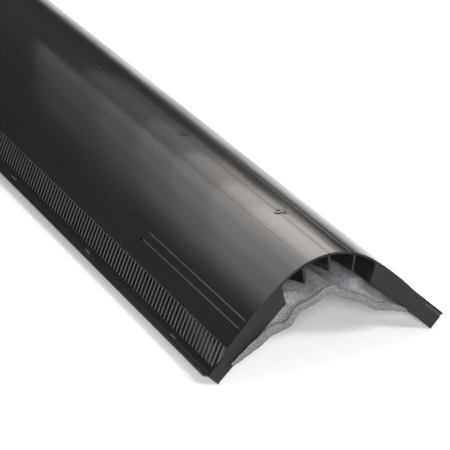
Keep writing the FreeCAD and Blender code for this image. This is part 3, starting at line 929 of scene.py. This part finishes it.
def moulded_plastic(finish):
    """Satin black plastic: fine grain, long flow streaks, a slightly wavy surface and matt end faces."""
    material, nodes, links, shader, place = new_material("moulded_plastic")
    streaks = add_noise(nodes, links, place, *STREAKS)
    clouds = add_noise(nodes, links, place, *CLOUDS)
    grain = add_noise(nodes, links, place, *GRAIN)
    shades = [scaled(finish.plastic, share) for share in STREAK_SHADES]
    links.new(add_ramp(nodes, links, streaks, list(zip(NOISE_RANGE, shades))), shader.inputs["Base Color"])
    wavy = add_bump(nodes, links, clouds, *WAVY_BUMP)
    links.new(add_bump(nodes, links, grain, *GRAIN_BUMP, wavy), shader.inputs["Normal"])
    shader.inputs["IOR"].default_value = PLASTIC_IOR
    gloss = [finish.gloss + drift for drift in GLOSS_DRIFT]
    rough = nodes.new("ShaderNodeMix")
    links.new(end_mask(nodes, links, place), rough.inputs["Factor"])
    links.new(add_range(nodes, links, clouds, *gloss), rough.inputs["A"])
    rough.inputs["B"].default_value = MATT_ROUGHNESS
    links.new(rough.outputs["Result"], shader.inputs["Roughness"])
    return material


def fibre_felt(finish):
    """Grey fibre mat: speckled strands of several greys, mottled, with no gloss, and painted shade on its
    cut ends.
    """
    material, nodes, links, shader, place = new_material("fibre_felt")
    strands = add_noise(nodes, links, place, *STRANDS)
    crossed = add_noise(nodes, links, place, *CROSSED)
    mottle = add_noise(nodes, links, place, *MOTTLE)
    both = nodes.new("ShaderNodeMix")
    both.inputs["Factor"].default_value = 0.5
    links.new(strands, both.inputs["A"])
    links.new(crossed, both.inputs["B"])
    speckle = both.outputs["Result"]
    greys = (finish.fibre_dark, finish.fibre, finish.fibre_light)
    mottled = add_tint(nodes, links, add_ramp(nodes, links, speckle, list(zip(SPECKLE_STOPS, greys))))
    mottled.inputs["Factor"].default_value = 1.0
    links.new(add_ramp(nodes, links, mottle, MOTTLE_CASTS), mottled.inputs["B"])
    # Painted shade: the cut ends are darkened, as the key light lights them more than the upper face
    cut = nodes.new("ShaderNodeAttribute")
    cut.attribute_name = "cut"
    ends = add_tint(nodes, links, mottled.outputs["Result"])
    links.new(cut.outputs["Fac"], ends.inputs["Factor"])
    ends.inputs["B"].default_value = (*PAINTED_CUT_SHADE, 1.0)
    links.new(ends.outputs["Result"], shader.inputs["Base Color"])
    rough = add_bump(nodes, links, mottle, *MOTTLE_BUMP)
    links.new(add_bump(nodes, links, speckle, *SPECKLE_BUMP, rough), shader.inputs["Normal"])
    shader.inputs["Roughness"].default_value = FELT_ROUGHNESS
    shader.inputs["Specular IOR Level"].default_value = FELT_SPECULAR
    shader.inputs["Sheen Weight"].default_value = FELT_SHEEN
    return material


def studio_floor(finish):
    """Pale floor that reads as white and keeps a soft shadow."""
    material, nodes, links, shader, place = new_material("studio_floor")
    shade = add_ramp(nodes, links, add_noise(nodes, links, place, *FLOOR_NOISE), [
        (0.0, scaled(finish.floor, FLOOR_SHADE)),
        (1.0, finish.floor),
    ])
    links.new(shade, shader.inputs["Base Color"])
    shader.inputs["Roughness"].default_value = FLOOR_ROUGHNESS
    shader.inputs["Specular IOR Level"].default_value = FLOOR_SPECULAR
    clear = nodes.new("ShaderNodeBsdfTransparent")
    below = nodes.new("ShaderNodeNewGeometry").outputs["Backfacing"]
    mixed = nodes.new("ShaderNodeMixShader")
    links.new(below, mixed.inputs["Fac"])
    links.new(shader.outputs["BSDF"], mixed.inputs[1])
    links.new(clear.outputs["BSDF"], mixed.inputs[2])
    links.new(mixed.outputs["Shader"], nodes["Material Output"].inputs["Surface"])
    return material


# The studio
FLOOR_SIZE = 30.0
CAMERA_AZIMUTH = math.radians(27.257)
CAMERA_RISE = math.radians(26.3)
CAMERA_DISTANCE = 1.79228
CAMERA_LENS = 167.9
SENSOR_WIDTH = 36.0
CLIP_END = 100.0
NEAR_CROWN = (-89.24 * MM, 24.34 * MM)      # image middle from the near end of the crown: right, up
SKY = ((0.0, 0.05), (0.2, 0.08), (0.45, 0.18), (1.0, 0.3))    # the dome: height, grey
WHITE = (1.0, 1.0, 1.0)
OPEN_BEAM = 180.0
NEAR_END = (0.55, 0.0, 0.05)                # where the large lights point
SOFTBOXES = (                               # name, place, aim, size, power, spread in degrees
    ("top_light", (-0.2, 0.45, 2.4), (-0.2, 0.45, 0.0), (1.2, 1.2), 2.8, 40.0),
    ("key_light", (3.74, -1.64, 1.82), NEAR_END, (1.0, 1.0), 185.0, OPEN_BEAM),
    ("fill_light", (3.2, 1.8, 2.3), NEAR_END, (1.0, 1.0), 90.0, OPEN_BEAM),
    ("louvre_light", (0.6, -1.5, 0.12), (0.35, -0.1, 0.03), (1.6, 0.2), 6.5, OPEN_BEAM),
)

# Strip lights: spans are (low, high, share) across the vent, strips (start, end, brightness) along it
STRIP_HEIGHT = 0.15
CROWN_TINT = (1.0, 0.955, 0.925)
CROWN_SPANS = ((-0.021, -0.006, 0.75), (-0.006, 0.035, 1.0), (0.035, 0.086, 0.76))
CROWN_STRIPS = (
    (0.43, 0.57, 5.0), (0.37, 0.43, 3.7), (0.29, 0.37, 2.0), (0.2, 0.29, 0.8), (0.05, 0.2, 0.35))
FLANK_TINT = (1.0, 0.98, 0.96)
FLANK_SPANS = (
    (-0.045, -0.021, 1.25), (-0.1, -0.045, 0.95), (-0.13, -0.1, 0.68), (-0.15, -0.13, 0.42),
    (-0.175, -0.15, 0.15))
FLANK_STRIPS = (
    (0.37, 0.58, 2.2), (0.29, 0.37, 1.55), (0.21, 0.29, 1.1), (0.11, 0.21, 0.7), (-0.06, 0.11, 0.42))
LIP_TINT = (1.0, 0.95, 0.93)
LIP_SPAN = (0.104, 0.122)
LIP_STRIPS = ((0.36, 0.52, 2.4),)


def add_camera(cover):
    """The camera that sees the near end from its left, above the louvres."""
    rise, turn = CAMERA_RISE, CAMERA_AZIMUTH
    back = Vector((math.cos(turn) * math.cos(rise), -math.sin(turn) * math.cos(rise), math.sin(rise)))
    right = Vector((math.sin(turn), math.cos(turn), 0.0))
    upwards = back.cross(right)
    near = Vector((cover.length / 2.0, 0.0, crown_centre(cover) + cover.crown))
    target = near + right * NEAR_CROWN[0] + upwards * NEAR_CROWN[1]
    data = bpy.data.cameras.new("camera")
    data.lens = CAMERA_LENS
    data.sensor_width = SENSOR_WIDTH
    data.sensor_fit = "HORIZONTAL"
    data.clip_end = CLIP_END
    camera = bpy.data.objects.new("camera", data)
    bpy.context.scene.collection.objects.link(camera)
    turned = Matrix((right, upwards, back)).transposed().to_4x4()
    camera.matrix_world = Matrix.Translation(target + back * CAMERA_DISTANCE) @ turned
    bpy.context.scene.camera = camera


def add_softbox(name, place, aim, size, power, shade, spread=OPEN_BEAM):
    """A rectangular soft light, its beam narrowed by a grid of the given spread in degrees."""
    data = bpy.data.lights.new(name, "AREA")
    data.shape = "RECTANGLE"
    data.size, data.size_y = size
    data.energy = power
    data.color = shade
    data.spread = math.radians(spread)
    light = bpy.data.objects.new(name, data)
    bpy.context.scene.collection.objects.link(light)
    light.visible_camera = False
    light.location = place
    light.rotation_mode = "QUATERNION"
    light.rotation_quaternion = (Vector(aim) - Vector(place)).to_track_quat("-Z", "Y")


def add_strips(name, strips, span, shade, share=1.0):
    """A row of low softboxes over the vent, dimmed by a share."""
    for number, (start, end, bright) in enumerate(strips):
        middle = ((start + end) / 2.0, sum(span) / 2.0)
        size = (end - start, span[1] - span[0])
        power = share * bright * math.pi * size[0] * size[1]
        add_softbox(f"{name}_{number}", (*middle, STRIP_HEIGHT), (*middle, 0.0), size, power, shade)


def add_world():
    """A dim dome, dark at the horizon and brighter overhead."""
    world = bpy.data.worlds.new("studio")
    world.use_nodes = True
    nodes = world.node_tree.nodes
    links = world.node_tree.links
    place = nodes.new("ShaderNodeTexCoord").outputs["Generated"]
    split = nodes.new("ShaderNodeSeparateXYZ")
    links.new(place, split.inputs["Vector"])
    stops = [(height, (grey, grey, grey)) for height, grey in SKY]
    shade = add_ramp(nodes, links, split.outputs["Z"], stops)
    links.new(shade, nodes["Background"].inputs["Color"])
    nodes["Background"].inputs["Strength"].default_value = 1.0
    bpy.context.scene.world = world


class RIDGEVENT_OT_cover(bpy.types.Operator):
    """Model the moulded cover with its louvres, end plugs and ribs"""
    bl_idname = "ridgevent.cover"
    bl_label = "Moulded cover"

    def execute(self, context):
        cover = context.scene.ridgevent_cover
        material = moulded_plastic(context.scene.ridgevent_finish)
        finish_piece("moulded_cover", build_cover(cover), material, "vent_cover")
        return {"FINISHED"}


class RIDGEVENT_OT_mat(bpy.types.Operator):
    """Hang the slack fibre mat under the cover"""
    bl_idname = "ridgevent.mat"
    bl_label = "Fibre mat"

    def execute(self, context):
        cover = context.scene.ridgevent_cover
        mat = context.scene.ridgevent_mat
        material = fibre_felt(context.scene.ridgevent_finish)
        piece = finish_piece(
            "fibre_mat", build_mat(cover, mat), material, "weather_filter", math.pi)
        return {"FINISHED"}


class RIDGEVENT_OT_stage(bpy.types.Operator):
    """Set up the white floor, the soft lights and the camera"""
    bl_idname = "ridgevent.stage"
    bl_label = "Studio"

    def execute(self, context):
        bm = bmesh.new()
        bmesh.ops.create_grid(bm, x_segments=1, y_segments=1, size=FLOOR_SIZE)
        floor = new_object("studio_floor", bm)
        floor.data.materials.append(studio_floor(context.scene.ridgevent_finish))
        add_world()
        for row, (low, high, share) in enumerate(CROWN_SPANS):
            add_strips(f"crown_light_{row}", CROWN_STRIPS, (low, high), CROWN_TINT, share)
        for row, (low, high, share) in enumerate(FLANK_SPANS):
            add_strips(f"flank_light_{row}", FLANK_STRIPS, (low, high), FLANK_TINT, share)
        add_strips("lip_light", LIP_STRIPS, LIP_SPAN, LIP_TINT)
        for name, place, aim, size, power, spread in SOFTBOXES:
            add_softbox(name, place, aim, size, power, WHITE, spread)
        add_camera(context.scene.ridgevent_cover)
        context.scene.view_settings.view_transform = "Standard"
        return {"FINISHED"}


class RIDGEVENT_PT_panel(bpy.types.Panel):
    """Buttons and sizes of the ridge vent"""
    bl_idname = "RIDGEVENT_PT_panel"
    bl_label = "Ridge Vent"
    bl_space_type = "VIEW_3D"
    bl_region_type = "UI"
    bl_category = "Ridge Vent"

    def draw(self, context):
        for operator in OPERATORS:
            self.layout.operator(operator.bl_idname)
        for group in GROUPS:
            box = self.layout.box()
            for name in GROUPS[group].__annotations__:
                box.prop(getattr(context.scene, group), name)


GROUPS = {
    "ridgevent_cover": CoverSizes,
    "ridgevent_mat": MatSizes,
    "ridgevent_finish": VentFinish,
}
OPERATORS = (RIDGEVENT_OT_cover, RIDGEVENT_OT_mat, RIDGEVENT_OT_stage)
CLASSES = (*GROUPS.values(), *OPERATORS, RIDGEVENT_PT_panel)


def register():
    """Registers the classes and hangs their sizes on the scene."""
    for item in CLASSES:
        bpy.utils.register_class(item)
    for name, group in GROUPS.items():
        setattr(bpy.types.Scene, name, bpy.props.PointerProperty(type=group))


def unregister():
    """Takes the sizes and the classes away again."""
    for name in GROUPS:
        delattr(bpy.types.Scene, name)
    for item in reversed(CLASSES):
        bpy.utils.unregister_class(item)


def main():
    """Builds every piece and the studio."""
    register()
    bpy.ops.ridgevent.cover()
    bpy.ops.ridgevent.mat()
    bpy.ops.ridgevent.stage()


if __name__ == "__main__":
    main()
